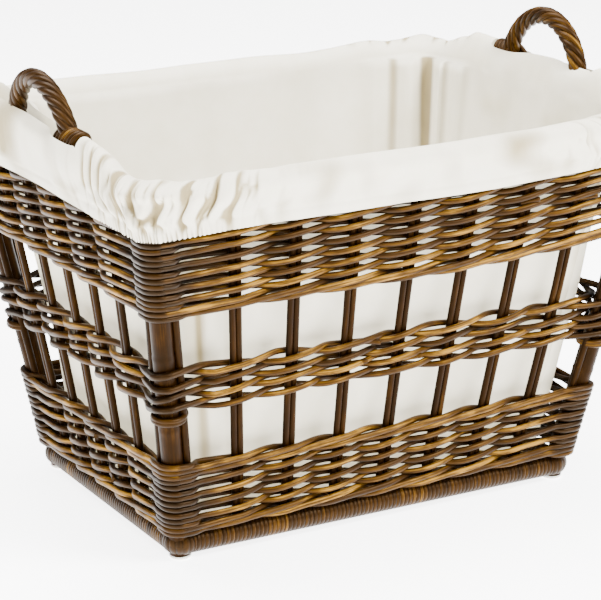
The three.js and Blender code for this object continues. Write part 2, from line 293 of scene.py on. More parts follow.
class Builder:
    """Collects tubes and strips into one mesh, with the attributes that the materials read."""

    def __init__(self):
        self.points, self.faces, self.caps, self.rod, self.tone = [], [], [], [], []
        self.count = 0

    def grid(self, points, rod, tone, closed_along, closed_around, caps=False, keep=None):
        """A grid of points, rows by columns, joined by quads. keep says which quads stay."""
        rows, columns = points.shape[:2]
        index = self.count + np.arange(rows * columns).reshape(rows, columns)
        below = index if closed_along else index[:-1]
        above = np.roll(index, -1, 0) if closed_along else index[1:]
        if closed_around:
            right_low, right_high = np.roll(below, -1, 1), np.roll(above, -1, 1)
        else:
            below, right_low = below[:, :-1], below[:, 1:]
            above, right_high = above[:, :-1], above[:, 1:]
        quads = np.stack([below, right_low, right_high, above], -1)
        self.faces.append(quads[keep] if keep is not None else quads.reshape(-1, 4))
        if caps:
            self.caps += [index[0][::-1].tolist(), index[-1].tolist()]
        self.points.append(points.reshape(-1, 3))
        self.rod.append(rod.reshape(-1, 3))
        self.tone.append(np.broadcast_to(tone, (rows, columns)).reshape(-1))
        self.count += rows * columns

    def tube(self, path, radius, tone, sides=10, closed=False, reference=(0, 0, 1), worn_and_lit=0.0):
        """A round rod along a path of points. radius and tone are numbers, or one for each point.

        The last argument pales the side that faces outwards and up and darkens the underside:
        partly stain rubbed away, partly a painted highlight on the lit side and painted shade below.
        """
        path = np.asarray(path, float)
        if closed:
            ahead, behind = np.roll(path, -1, 0), np.roll(path, 1, 0)
        else:
            ahead = np.vstack([path[1:], path[-1:]])
            behind = np.vstack([path[:1], path[:-1]])
        along = unit(ahead - behind)
        side = unit(np.cross(along, np.asarray(reference, float)))
        up = np.cross(side, along)
        angle = np.linspace(0, 2 * np.pi, sides, endpoint=False)
        radius = np.broadcast_to(np.asarray(radius, float), (len(path),))[:, None, None]
        points = path[:, None] + radius * circle(angle, side[:, None], up[:, None])
        rod = np.empty(points.shape)
        rod[..., 0] = run_along(path)[:, None]
        rod[..., 1:] = radius * circle(angle, EAST[:2], NORTH[:2])
        rod += rng.uniform(0, 500, 3)
        tone = np.broadcast_to(np.asarray(tone, float), (len(path),))[:, None]
        # Paler on the outward and upper side, darker below: partly rubbed stain, partly painted highlight
        # and painted shade.
        tone = tone + worn_and_lit * (np.cos(angle - WORN_AND_LIT_ANGLE) - 0.25)[None]
        self.grid(points, rod, tone, closed, True, caps=not closed)

    def build(self, name, material, slot, *replaced, body="basket"):
        """Makes the piece, with flat caps and the rest of it smooth."""
        points = lifted(np.vstack(self.points)) * MM
        quads = np.vstack(self.faces)
        sizes = np.array([4] * len(quads) + [len(cap) for cap in self.caps], np.int32)
        corners = np.concatenate([quads.reshape(-1)] + self.caps).astype(np.int32)
        mesh = bpy.data.meshes.new(name)
        mesh.vertices.add(len(points))
        mesh.vertices.foreach_set("co", points.reshape(-1))
        mesh.loops.add(len(corners))
        mesh.loops.foreach_set("vertex_index", corners)
        mesh.polygons.add(len(sizes))
        starts = np.concatenate([[0], np.cumsum(sizes)[:-1]]).astype(np.int32)
        mesh.polygons.foreach_set("loop_start", starts)
        mesh.update(calc_edges=True)
        mesh.polygons.foreach_set("use_smooth", np.arange(len(sizes)) < len(quads))
        rod = mesh.attributes.new("rod", "FLOAT_VECTOR", "POINT")
        rod.data.foreach_set("vector", (np.vstack(self.rod) * MM).reshape(-1))
        tone = mesh.attributes.new("tone", "FLOAT", "POINT")
        tone.data.foreach_set("value", np.concatenate(self.tone))
        mesh.validate()
        mesh.materials.append(material)
        made = bpy.data.objects.new(name, mesh)
        bpy.context.scene.collection.objects.link(made)
        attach(made, body)
        if replaced:
            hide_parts(*replaced)
        return made


def smooth_noise(count, step, amount, closed=True):
    """Random values that change smoothly, one new value every `step` places."""
    knots = max(int(count / step), 4)
    values = rng.normal(0, amount, knots)
    place = np.arange(count) / count * knots
    low = np.floor(place).astype(int)
    share = smoothstep(place - low, 0, 1)
    after = (low + 1) % knots if closed else np.minimum(low + 1, knots - 1)
    return values[low % knots] * (1 - share) + values[after] * share


# ---------------------------------------------------------------- the line round the basket
# Walls in the order that the weavers go: front, right, back, left. Each has the direction
# along it, its outward normal, its stakes and their spacing.
WALLS = [
    ((1, 0), (0, -1), LONG_STAKES, LONG_STEP, "front"),
    ((0, 1), (1, 0), SHORT_STAKES, SHORT_STEP, "right"),
    ((-1, 0), (0, 1), LONG_STAKES, LONG_STEP, "back"),
    ((0, -1), (-1, 0), SHORT_STAKES, SHORT_STEP, "left"),
]
AXES, NORMALS = [np.array([wall[side] for wall in WALLS], float) for side in (0, 1)]
WALL_SAMPLES = 100
ARC_SAMPLES = 9


class Round:
    """Places round the basket: the wall, the share of its length, and the turn past its corner."""

    def __init__(self):
        self.wall, self.share, self.angle = [], [], []

    def add(self, wall, share, angle):
        self.wall.append(wall)
        self.share.append(share)
        self.angle.append(angle)

    def settle(self):
        self.wall, self.share, self.angle = np.array(self.wall), np.array(self.share), np.array(self.angle)
        self.axis, self.normal = AXES[self.wall], NORMALS[self.wall]
        self.direction = circle(self.angle, self.normal, self.axis)

    def at(self, inset, z, radius):
        """The places at the heights z, when the corners' centres are this far in from the walls."""
        long_way = self.wall % 2 == 0
        along = np.where(long_way, half_length(z), half_width(z)) - inset
        out = np.where(long_way, half_width(z), half_length(z)) - inset
        flat = self.axis * (self.share * along)[:, None] + self.normal * out[:, None]
        flat = flat + self.direction * np.broadcast_to(radius, out.shape)[:, None]
        return np.column_stack([flat, np.broadcast_to(z, out.shape)])


def reach_of(wall, z):
    """Half of a wall's length between its post centres, and its distance out, at height z."""
    long_way = wall[4] in ("front", "back")
    along = (half_length(z) if long_way else half_width(z)) - POST_INSET
    out = (half_width(z) if long_way else half_length(z)) - POST_INSET
    return along, out


def stake_share(wall, i):
    return (i - (wall[2] - 1) / 2) * wall[3]


class Line(Round):
    """Points along the line of stakes at one height, and where the stakes and posts are on it."""

    def __init__(self, z):
        super().__init__()
        self.z = z
        stations, posts, self.distance = [], [], []
        arc = CURVE_RADIUS * math.pi / 2 + 6
        passed = 0.0
        for w, wall in enumerate(WALLS):
            along, _ = reach_of(wall, z)
            half = half_length(z) if w % 2 == 0 else half_width(z)
            for i in range(wall[2]):
                stations.append(passed + along + stake_share(wall, i) * half)
            for share in np.linspace(-1, 1, WALL_SAMPLES, endpoint=False):
                self.distance.append(passed + (share + 1) * along)
                self.add(w, share, 0.0)
            passed += 2 * along
            posts.append(passed + arc / 2)
            for step in np.linspace(0, 1, ARC_SAMPLES, endpoint=False):
                self.distance.append(passed + step * arc)
                self.add(w, 1.0, step * math.pi / 2)
            passed += arc
        self.length = passed
        self.distance = np.array(self.distance)
        self.stations, self.posts = np.array(stations), np.array(posts)
        self.settle()

    def points(self, outward, z):
        """Places on the line, moved outward from it and at the heights z."""
        return self.at(POST_INSET, z, CURVE_RADIUS + outward)

    def counted(self, with_posts):
        """How many uprights are passed at each place: whole at a stake, and at a post too if asked."""
        marks = self.stations
        if with_posts:
            marks = np.sort(np.concatenate([self.stations, self.posts]))
        number = np.arange(len(marks), dtype=float)
        wide = np.concatenate([marks - self.length, marks, marks + self.length])
        numbers = np.concatenate([number - len(marks), number, number + len(marks)])
        return np.interp(self.distance, wide, numbers)

    def near_post(self, full, fade):
        """1 within `full` millimetres of a post, falling to 0 at `fade`."""
        gap = np.abs(self.distance[:, None] - self.posts[None])
        gap = np.minimum(gap, self.length - gap).min(1)
        return smoothstep(-gap, -fade, -full)


def strand_tone(count, low=0.14, high=0.56):
    """A rod's own tone, which changes where one rod ends and the next begins."""
    tone = np.empty(count)
    start = 0
    while start < count:
        length = int(rng.integers(count // 8, count // 2))
        tone[start:start + length] = rng.uniform(low, high)
        start += length
    return tone


def flatter(wave):
    return 1.25 * wave - 0.25 * wave ** 3


PAST_POST = (17, 30)  # a rod runs straight past a post from the first, as usual beyond the second
WORN_AND_LIT = 0.26  # how much paler a weaving rod is on its outward upper side, and darker below: partly rubbed stain, partly painted highlight and shade


def pairing_row(builder, z, lift, posts_between=True):
    """Two rods twisted round each other, one inside and one outside each stake."""
    line = Line(z)
    number = line.counted(with_posts=not posts_between)
    size = len(number)
    wobble = smooth_noise(size, 9, 0.10 if posts_between else 0.24)
    for strand in (0, 1):
        turn = np.pi * (number + strand) + wobble
        outward = SWING * flatter(np.cos(turn))
        rise = lift * np.sin(turn)
        if posts_between:
            near = line.near_post(*PAST_POST)
            outward = outward * (1 - near) + POST_SWING * near
        else:
            rise = rise * 1.15 + smooth_noise(size, 16, 1.3)
            near = line.near_post(6, 22)
            outward = outward + near * (POST_SWING - SWING) * np.sign(outward)
        height = z + rise + smooth_noise(size, 12, 0.35)
        path = line.points(outward, height)
        if not posts_between:
            path = inside_corners(line, path, outward)
        # Paler where the rod passes outside a stake, darker where it passes behind one, and darker still
        # near the posts: painted shade.
        tone = strand_tone(size) + 0.13 * outward / SWING + smooth_noise(size, 6, 0.06)
        tone = tone - 0.48 * line.near_post(14, 48)
        radius = ROD * (1 + smooth_noise(size, 14, 0.03)) * rng.uniform(0.95, 1.05)
        radius = radius * (1 + 0.1 * (line.wall % 2))
        builder.tube(path, radius, tone, closed=True, worn_and_lit=WORN_AND_LIT)


CORNER_CUT = 9  # how many samples before and after the curve the cut starts and ends


def inside_corners(line, path, outward):
    """Where a rod passes behind a corner post, it cuts the corner on the inside."""
    path = path.copy()
    size = len(path)
    for w in range(4):
        start = (w + 1) * (WALL_SAMPLES + ARC_SAMPLES) - ARC_SAMPLES
        middle = start + ARC_SAMPLES // 2
        if outward[middle] > 0:
            continue
        span = np.arange(start - CORNER_CUT, start + ARC_SAMPLES + CORNER_CUT + 1) % size
        before, after = path[span[0]], path[span[-1]]
        along, out = reach_of(WALLS[w], line.z)
        inward = (POST_RADIUS + ROD + 0.5) / math.sqrt(2)
        apex = AXES[w] * (along - inward) + NORMALS[w] * (out - inward)
        control = 2 * np.array([*apex, path[middle, 2]]) - (before + after) / 2
        t = np.linspace(0, 1, len(span))[:, None]
        path[span] = (1 - t) ** 2 * before + 2 * t * (1 - t) * control + t ** 2 * after
    return path


def wale(builder, z, lift):
    """Three rods, each passing outside two stakes and inside the next."""
    line = Line(z)
    number = line.counted(with_posts=False)
    size = len(number)
    near = line.near_post(*PAST_POST)
    for strand in range(3):
        phase = ((number - strand) / 3) % 1
        behind = np.minimum(np.minimum(phase, 1 - phase) * 3, 1)
        outward = -SWING * np.cos(np.pi * behind)
        outward = outward * (1 - near) + POST_SWING * near
        rise = -np.sin(2 * np.pi * phase) - 0.25 * np.sin(4 * np.pi * phase)
        height = z + lift * rise * (1 + 0.2 * near) + smooth_noise(size, 12, 0.3)
        # Paler where the rod passes outside a stake, darker where it passes behind one, and darker still
        # near the posts: painted shade.
        tone = strand_tone(size, 0.24, 0.6) + 0.12 * outward / SWING + smooth_noise(size, 6, 0.06)
        tone = tone - 0.36 * near
        radius = ROD * 1.06 * (1 + smooth_noise(size, 14, 0.03))
        builder.tube(line.points(outward, height), radius, tone, closed=True, worn_and_lit=WORN_AND_LIT)


def band(cad, rows, row, lift, **how):
    """A band of weaving that stands for one CAD node, with its rows evenly spaced."""
    low, high = levels(cad)
    builder = Builder()
    for i in range(rows):
        row(builder, low + (high - low) / rows * (i + 0.5), lift, **how)
    builder.build(f"woven_{cad}", WEAVE, "woven_rattan", cad)


band("lower_bottom_wale", 1, wale, 3.7)
band("lower_weave", 4, pairing_row, 2.7)
band("lower_top_wale", 1, wale, 3.7)
band("middle_wale", 4, pairing_row, 2.6, posts_between=False)
band("upper_bottom_wale", 1, wale, 3.7)
band("upper_weave", 7, pairing_row, 2.6)


# ---------------------------------------------------------------- uprights
def leaning(foot, lean, heights, wobble=0.0):
    """A line that leans outwards; foot is where it meets the ground."""
    points = np.column_stack([foot[0] + lean[0] * heights, foot[1] + lean[1] * heights, heights])
    if wobble:
        for axis in (0, 1):
            points[:, axis] += smooth_noise(len(heights), 8, wobble, closed=False)
    return points


def uprights():
    """Each stake is a pair of thin rods, side by side."""
    heights = np.linspace(WEAVE_BOTTOM, BORDER_LOW - ROD_GAP, 60)
    for w, wall in enumerate(WALLS):
        axis, normal = AXES[w], NORMALS[w]
        base, far = (HALF_LENGTH, HALF_WIDTH) if w % 2 == 0 else (HALF_WIDTH, HALF_LENGTH)
        forward = wall[4] in ("front", "right")
        for i in range(wall[2]):
            share = stake_share(wall, i)
            builder = Builder()
            for side in (-1, 1):
                foot = axis * (share * base + side * STAKE_RADIUS * 0.95) + normal * (far - STAKE_INSET)
                lean = (axis * share + normal) * (LEAN_X, LEAN_Y)
                path = leaning(foot, lean, heights, wobble=0.12)
                tone = rng.uniform(0.2, 0.48) + smooth_noise(60, 5, 0.07, closed=False)
                radius = STAKE_RADIUS * rng.uniform(0.97, 1.03)
                builder.tube(path, radius, tone, sides=14, reference=(*normal, 0), worn_and_lit=0.16)
            name = f"{wall[4]}_{i + 1 if forward else wall[2] - i}"
            builder.build(f"rods_{name}", POLE, "rattan_rod", f"stake_{name}")


CORNERS = [("front_left", -1, -1), ("front_right", 1, -1), ("back_left", -1, 1), ("back_right", 1, 1)]


def pole_radius(heights, radius, joint_heights):
    """A pole that swells a little at each joint."""
    made = np.full(len(heights), radius)
    for joint in joint_heights:
        swell = 0.35 * np.exp(-((heights - joint) / 3.0) ** 2)
        made += swell - 0.25 * np.exp(-((heights - joint - 4) / 1.2) ** 2)
    return made


CLOSER = 1.3  # how much nearer to its post a thin rod stands than the CAD has it


def corner_posts():
    for corner, sx, sy in CORNERS:
        foot = np.array([sx * (HALF_LENGTH - POST_INSET), sy * (HALF_WIDTH - POST_INSET)])
        lean = np.array([sx * LEAN_X, sy * LEAN_Y])
        heights = np.linspace(extent(f"corner_post_{corner}", 2, 0), BORDER_LOW - ROD_GAP, 160)
        builder = Builder()
        radius = pole_radius(heights, POST_RADIUS - 0.4, [rng.uniform(110, 140), rng.uniform(200, 230)])
        tone = rng.uniform(0.28, 0.4) + smooth_noise(160, 12, 0.07, closed=False)
        builder.tube(leaning(foot, lean, heights), radius, tone, sides=28, reference=(1, 0, 0))
        builder.build(f"post_{corner}", POLE, "rattan_pole", f"corner_post_{corner}")
        for wall in ("long", "short"):
            name = f"side_rod_{corner}_{wall}"
            low, high = cad_box(name)
            middle = (low + high) / 2
            from_post = foot + lean * middle[2] - middle[:2]
            nearer = CLOSER * np.sign(from_post) * (np.abs(from_post) > 8)
            at_foot = middle[:2] - lean * middle[2] + nearer
            builder = Builder()
            heights = np.linspace(WEAVE_BOTTOM, BORDER_LOW - ROD_GAP, 50)
            tone = rng.uniform(0.15, 0.35)
            path = leaning(at_foot, lean, heights, 0.1)
            builder.tube(path, SIDE_ROD_RADIUS, tone, sides=12, reference=(1, 0, 0))
            builder.build(f"thin_rod_{corner}_{wall}", POLE, "rattan_rod", name)


def lashings():
    """A rod wound round each post under the middle band, with its cut end left sticking out."""
    below = extent("middle_wale", 2, 0) - 4
    for corner, sx, sy in CORNERS:
        builder = Builder()
        turn = np.linspace(-0.4, 4.15 * np.pi, 90) + (0 if sx * sy > 0 else np.pi / 2)
        climb = np.linspace(-4.2, 1.2, 90)
        x, y = sx * (half_length(below) - POST_INSET), sy * (half_width(below) - POST_INSET)
        radius = POST_RADIUS + ROD + 0.4 + 5.0 * smoothstep(np.arange(90), 80, 90)
        height = below + climb + 1.2 * np.sin(turn)
        path = np.column_stack([x + radius * np.cos(turn), y + radius * np.sin(turn), height])
        tone = rng.uniform(0.3, 0.5) + smooth_noise(90, 12, 0.05, closed=False)
        builder.tube(path, ROD * 0.95, tone, worn_and_lit=0.15)
        builder.build(f"lashing_{corner}", WEAVE, "woven_rattan")


CUT_ENDS = {"upper_weave": 7, "middle_wale": 10, "lower_weave": 6, "upper_bottom_wale": 3}


def cut_ends():
    """The ends of weavers, cut slantwise where one rod stops and the next begins."""
    builder = Builder()
    for cad, count in CUT_ENDS.items():
        low, high = levels(cad)
        for _ in range(count):
            w = int(rng.integers(0, 4))
            z = rng.uniform(low + 4, high - 4)
            along, out = reach_of(WALLS[w], z)
            start = rng.uniform(-0.85, 0.85) * along
            step = np.linspace(0, 1, 8)
            level = AXES[w] * (start + 17 * step)[:, None]
            level = level + NORMALS[w] * (out + 7.5 + 6.5 * step ** 1.5)[:, None]
            path = np.column_stack([level, z + rng.uniform(-2, 3) * step])
            builder.tube(path, ROD * np.linspace(1, 0.8, 8), rng.uniform(0.25, 0.6), worn_and_lit=0.15)
    builder.build("cut_rod_ends", WEAVE, "woven_rattan")


uprights()
corner_posts()
lashings()
cut_ends()


# ---------------------------------------------------------------- base
WRAP_PITCH = 4.2  # width of a strip of cane
WRAP_RUN = 0.42  # distance between the rows of points along a wrapped rail
RAIL_RADIUS, RAIL_RIDGE = 9.9, 0.95
CORNER_RADIUS, CORNER_RIDGE = 10.8, 0.8
CORNER_BEND = 5.5  # radius of the pole's own bend at each corner of the base


def ridges(across):
    """The rounded back of a strip of cane: 1 along its middle, and 0 at its edges."""
    return np.sqrt(np.clip(1 - across ** 2.6, 0, 1))


def wrapped_rail(name, axis):
    """A pole wound with cane: ridges that climb one pitch in each turn."""
    low, high = cad_box(name)
    centre = (low + high) / 2
    length = high[axis] - low[axis]
    run = np.linspace(0, length, int(length / WRAP_RUN))
    angle = np.linspace(0, 2 * np.pi, 26, endpoint=False)
    turn = run[:, None] / WRAP_PITCH + angle / (2 * np.pi)
    across = np.abs((turn % 1) - 0.5) * 2
    radius = RAIL_RADIUS + RAIL_RIDGE * ridges(across)
    strip = np.floor(turn).astype(int)
    strip_tone = rng.uniform(0.22, 0.48, strip.max() + 2)
    for _ in range(4):
        start = int(rng.integers(0, strip.max()))
        strip_tone[start:start + int(rng.integers(2, 6))] += 0.22
    drift = (np.sin(run / 46.0 * 2 * np.pi + rng.uniform(0, 6)) * 0.06)[:, None]
    tone = strip_tone[strip] + drift - 0.35 * across ** 6
    points = np.empty((*radius.shape, 3))
    points[..., axis] = (low[axis] + run)[:, None]
    points[..., 1 - axis] = centre[1 - axis] + radius * np.cos(angle)
    points[..., 2] = centre[2] + radius * np.sin(angle)
    if axis == 1:
        points, tone = points[:, ::-1], tone[:, ::-1]
    rod = np.stack([radius * angle, turn * WRAP_PITCH, 0 * radius], -1)
    builder = Builder()
    builder.grid(points[:, ::-1], rod[:, ::-1], tone[:, ::-1], False, True, caps=True)
    builder.build(f"wrapped_{name}", CANE, "cane_wrap", name)


for side in ("front", "back"):
    wrapped_rail(f"base_rail_{side}", 0)
for side in ("left", "right"):
    wrapped_rail(f"base_rail_{side}", 1)


def wrapped_corners():
    """Cane wound round each corner of the base, between the ends of two rails."""
    level, out_y = sum(cad_box("base_rail_front"))[[2, 1]] / 2
    out_x = sum(cad_box("base_rail_right"))[0] / 2
    for corner, sx, sy in CORNERS:
        quarter = np.linspace(-0.25, 1.25, 70) * math.pi / 2
        centre = np.array([sx * (out_x - CORNER_BEND), sy * (abs(out_y) - CORNER_BEND), level])
        outward = np.column_stack([sx * np.cos(quarter), sy * np.sin(quarter), 0 * quarter])
        angle = np.linspace(0, 2 * np.pi, 28, endpoint=False)
        turn = quarter[:, None] * (CORNER_BEND + 5) / WRAP_PITCH + 0 * angle
        across = np.abs((turn % 1) - 0.5) * 2
        radius = CORNER_RADIUS + CORNER_RIDGE * ridges(across)
        ring = circle(angle, outward[:, None], UP)
        points = (centre + CORNER_BEND * outward)[:, None] + radius[..., None] * ring
        strip = np.floor(turn).astype(int) - int(np.floor(turn.min()))
        tone = rng.uniform(0.16, 0.38, strip.max() + 1)[strip] - 0.3 * across ** 6
        if sx * sy > 0:
            points, tone, turn = points[:, ::-1], tone[:, ::-1], turn[:, ::-1]
        rod = np.stack([10 * angle + 0 * tone, turn * WRAP_PITCH, 0 * tone], -1)
        builder = Builder()
        builder.grid(points, rod, tone, False, True, caps=True)
        builder.build(f"wrapped_corner_{corner}", CANE, "cane_wrap")


wrapped_corners()


SLAT_STEP = 24.0


def woven_floor():
    """Rods that pass over and under the slats of the floor."""
    low, high = cad_box("floor_panel")
    builder = Builder()
    middle = (low[2] + high[2]) / 2
    slats = np.arange(low[0] + 14, high[0] - 8, SLAT_STEP)
    for x in slats:
        path = [(x, y, middle) for y in np.linspace(low[1], high[1], 30)]
        builder.tube(path, 1.6, rng.uniform(0.3, 0.6), sides=8)
    across = np.linspace(low[0], high[0], 150)
    for row, y in enumerate(np.arange(low[1] + 2, high[1] - 1.5, 3.7)):
        wave = np.cos((across - slats[0]) / SLAT_STEP * np.pi + row * np.pi)
        path = np.column_stack([across, np.full(150, y), middle + 1.2 * wave])
        builder.tube(path, 1.8, rng.uniform(0.35, 0.7), sides=6)
    builder.build("woven_floor", WEAVE, "woven_rattan", "floor_panel")


def crossbar(side):
    low, high = cad_box(f"floor_crossbar_{side}")
    x, _, z = (low + high) / 2
    builder = Builder()
    builder.tube([(x, y, z) for y in np.linspace(low[1], high[1], 40)], 4.7, 0.45, sides=20)
    builder.build(f"base_crossbar_{side}", POLE, "rattan_pole", f"floor_crossbar_{side}")


GLIDE_PROFILE = [  # radius and height, from the middle of the underside to the middle of the top
    (0.02, 0.0), (7.4, 0.0), (8.7, 0.4), (9.7, 1.3), (9.95, 2.2), (9.6, 3.2), (9.0, 3.6), (0.02, 3.6),
]


def glide(corner):
    x, y, _ = sum(cad_box(f"foot_glide_{corner}")) / 2
    turns = np.linspace(0, 2 * np.pi, 32, endpoint=False)
    points = np.array([(x, y, z) + r * circle(turns, EAST, NORTH) for r, z in GLIDE_PROFILE])
    builder = Builder()
    builder.grid(points, points, 0.5, False, True, caps=True)
    builder.build(f"glide_{corner}", PLASTIC, "plastic_glide", f"foot_glide_{corner}")


woven_floor()
for side in ("left", "right"):
    crossbar(side)
for corner, _, _ in CORNERS:
    glide(corner)


# ---------------------------------------------------------------- border and handles
def ring_path(z, inset, corner_radius, spacing):
    """A level rounded rectangle: points, outward normals and distance along it."""
    x = half_length(z) - inset - corner_radius
    y = half_width(z) - inset - corner_radius
    points, normals = [], []
    for w in range(4):
        axis, normal = AXES[w], NORMALS[w]
        along, out = (x, y) if w % 2 == 0 else (y, x)
        steps = max(int(2 * along / spacing), 2)
        for share in np.linspace(-1, 1, steps, endpoint=False):
            points.append(axis * along * share + normal * (out + corner_radius))
            normals.append(normal)
        arc_steps = max(int(corner_radius * 1.57 / spacing), 5)
        for turn in np.linspace(0, math.pi / 2, arc_steps, endpoint=False):
            direction = math.cos(turn) * normal + math.sin(turn) * axis
            points.append(axis * along + normal * out + corner_radius * direction)
            normals.append(direction)
    run = run_along([*points, points[0]])
    return np.array(points), np.array(normals), run[:-1], run[-1]


BORDER_Z = (BORDER_LOW + BORDER_HIGH) / 2


BORDER_STRANDS, BORDER_TURN = 7, 105  # rods in the border, and about how far one turn takes them
BORDER_OUT, BORDER_UP = 8.2, 7.6  # half of the width and of the height that they are wound to


def rolled_border():
    flat, normal, run, total = ring_path(BORDER_Z, 12, 12, 3.5)
    builder = Builder()
    twist = round(total / BORDER_TURN)
    for k in range(BORDER_STRANDS):
        turn = 2 * np.pi * (run / total * twist + k / BORDER_STRANDS)
        out = BORDER_OUT * np.cos(turn)
        path = np.column_stack([flat + normal * out[:, None], BORDER_Z + BORDER_UP * np.sin(turn)])
        builder.tube(path, 3.2, rng.uniform(0.3, 0.65) + smooth_noise(len(run), 10, 0.06), closed=True)
    builder.build("rolled_border", WEAVE, "woven_rattan", "top_border")


rolled_border()


KNOT_TURNS, KNOT_PITCH = {"left": 7, "right": 5}, 5.4
KNOT_OUT, KNOT_UP, KNOT_SLANT = 8.6, 10.5, 7.0  # half of how far they reach across, up and along
HANDLE_TILT = {"left": -8.0, "right": 1.5}  # how far each crown leans along X
HANDLE_SHIFT = {"left": 0.0, "right": -11.0}  # and how far each handle is off the middle along Y
CROWN_RISE = {"left": 3.0, "right": 4.0}  # how much higher each crown is than in the CAD
# How high the middle of each leg's knots is above the border: the front leg, then the back one.
KNOT_RISE = {"left": (18.0, 5.0), "right": (3.0, 17.0)}
HANDLE_STRANDS, HANDLE_TURN = 6, 64.0  # rods in a handle, and how far one turn takes them
HANDLE_LEG = 0.1  # share of the handle's length that each straight leg takes up


def handle(side_name):
    """Rods twisted into an arch that stands on the border, with knots beside its legs."""
    low, high = cad_box(f"handle_{side_name}")
    x = (low[0] + high[0]) / 2
    thick = (high[0] - low[0]) / 2
    span = (high[1] - low[1]) / 2 - thick
    arch = high[2] - thick + CROWN_RISE[side_name] - BORDER_HIGH
    t = np.linspace(0, 1, 150)
    angle = np.pi * (1 - np.clip((t - HANDLE_LEG) / (1 - 2 * HANDLE_LEG), 0, 1))
    z = BORDER_HIGH + arch * np.sin(angle)
    down = np.maximum(HANDLE_LEG - t, t - 1 + HANDLE_LEG).clip(0) / HANDLE_LEG
    z = z - down * (BORDER_HIGH - BORDER_LOW - 2)
    tilt = HANDLE_TILT[side_name] * ((z - BORDER_HIGH) / arch).clip(0)
    shift = HANDLE_SHIFT[side_name]
    middle = np.column_stack([x + tilt, span * np.cos(angle) + shift, z])
    inplane = np.cross(unit(np.gradient(middle, axis=0)), EAST)
    builder = Builder()
    for k in range(HANDLE_STRANDS):
        turn = 2 * np.pi * (run_along(middle) / HANDLE_TURN + k / HANDLE_STRANDS)
        path = middle + 5.4 * circle(turn, inplane, EAST)
        tone = rng.uniform(0.3, 0.62) + smooth_noise(150, 10, 0.06)
        builder.tube(path, 3.3, tone, sides=12, reference=(1, 0, 0))
    # Knots: the ends of the rods are wound slantwise round the border beside each leg.
    turns = KNOT_TURNS[side_name]
    for end, rise in zip((-1, 1), KNOT_RISE[side_name]):
        centre_x = math.copysign(half_length(BORDER_HIGH + rise) - 12, x)
        turn = np.linspace(0, 2 * np.pi * turns, 36 * turns)
        beside = KNOT_PITCH * (turn / (2 * np.pi) - turns / 2) + KNOT_SLANT * np.sin(turn)
        path = np.column_stack([
            centre_x + KNOT_OUT * np.cos(turn),
            shift + end * (span + beside),
            BORDER_HIGH + rise + KNOT_UP * np.sin(turn),
        ])
        tone = 0.42 + smooth_noise(len(turn), 12, 0.12, closed=False)
        builder.tube(path, 2.8, tone, reference=(0, 1, 0))
    builder.build(f"twisted_handle_{side_name}", WEAVE, "woven_rattan", f"handle_{side_name}")


handle("left")
handle("right")


# ---------------------------------------------------------------- liner
LINER_TOP = extent("liner_cuff", 2, 1)
HEM_BOTTOM = extent("liner_elastic_hem", 2, 0)
BAG_BOTTOM = extent("liner_bag", 2, 0)
FOLD_FOOT = 349.0  # height at which the cloth starts to turn over the border
CUFF_START = 352.0  # the cuff's own length is counted from here down to the hem
CLOTH_CORNER = 27.0  # radius of the liner's corners round the border
BAG_CORNER = 22.0  # and inside the basket
SLIT_HALF_LENGTH = 92.0  # slit in the fold that a handle and its knots come through
SLIT_HALF_WIDTH = 3.0
KNOT_REACH = 12.0  # how far the knots reach on each side of the handle's plane
BACK_LEFT_RISE = 16.0  # how much more the fold rises towards the back of the left wall
SIDE_RISE = 15.0  # the fold stands higher where it passes over the handles' knots
KNOT_BULGE = 6.5  # and the cloth below it stands further in
CREST_ROWS, CUFF_ROWS = 16, 26


def soft_noise(u, v, columns, rows, amount=1.0):
    """Smooth random values over v by u, both from 0 to 1. It joins up round u."""
    lattice = rng.uniform(-amount, amount, (rows + 2, columns))
    across, up = u * columns, np.clip(v, 0, 1) * rows
    i, j = np.floor(across).astype(int), np.floor(up).astype(int)
    a, b = smoothstep(across - i, 0, 1), smoothstep(up - j, 0, 1)[:, None]
    i0, i1 = i % columns, (i + 1) % columns
    low = lattice[j][:, i0] * (1 - a) + lattice[j][:, i1] * a
    high = lattice[j + 1][:, i0] * (1 - a) + lattice[j + 1][:, i1] * a
    return low * (1 - b) + high * b


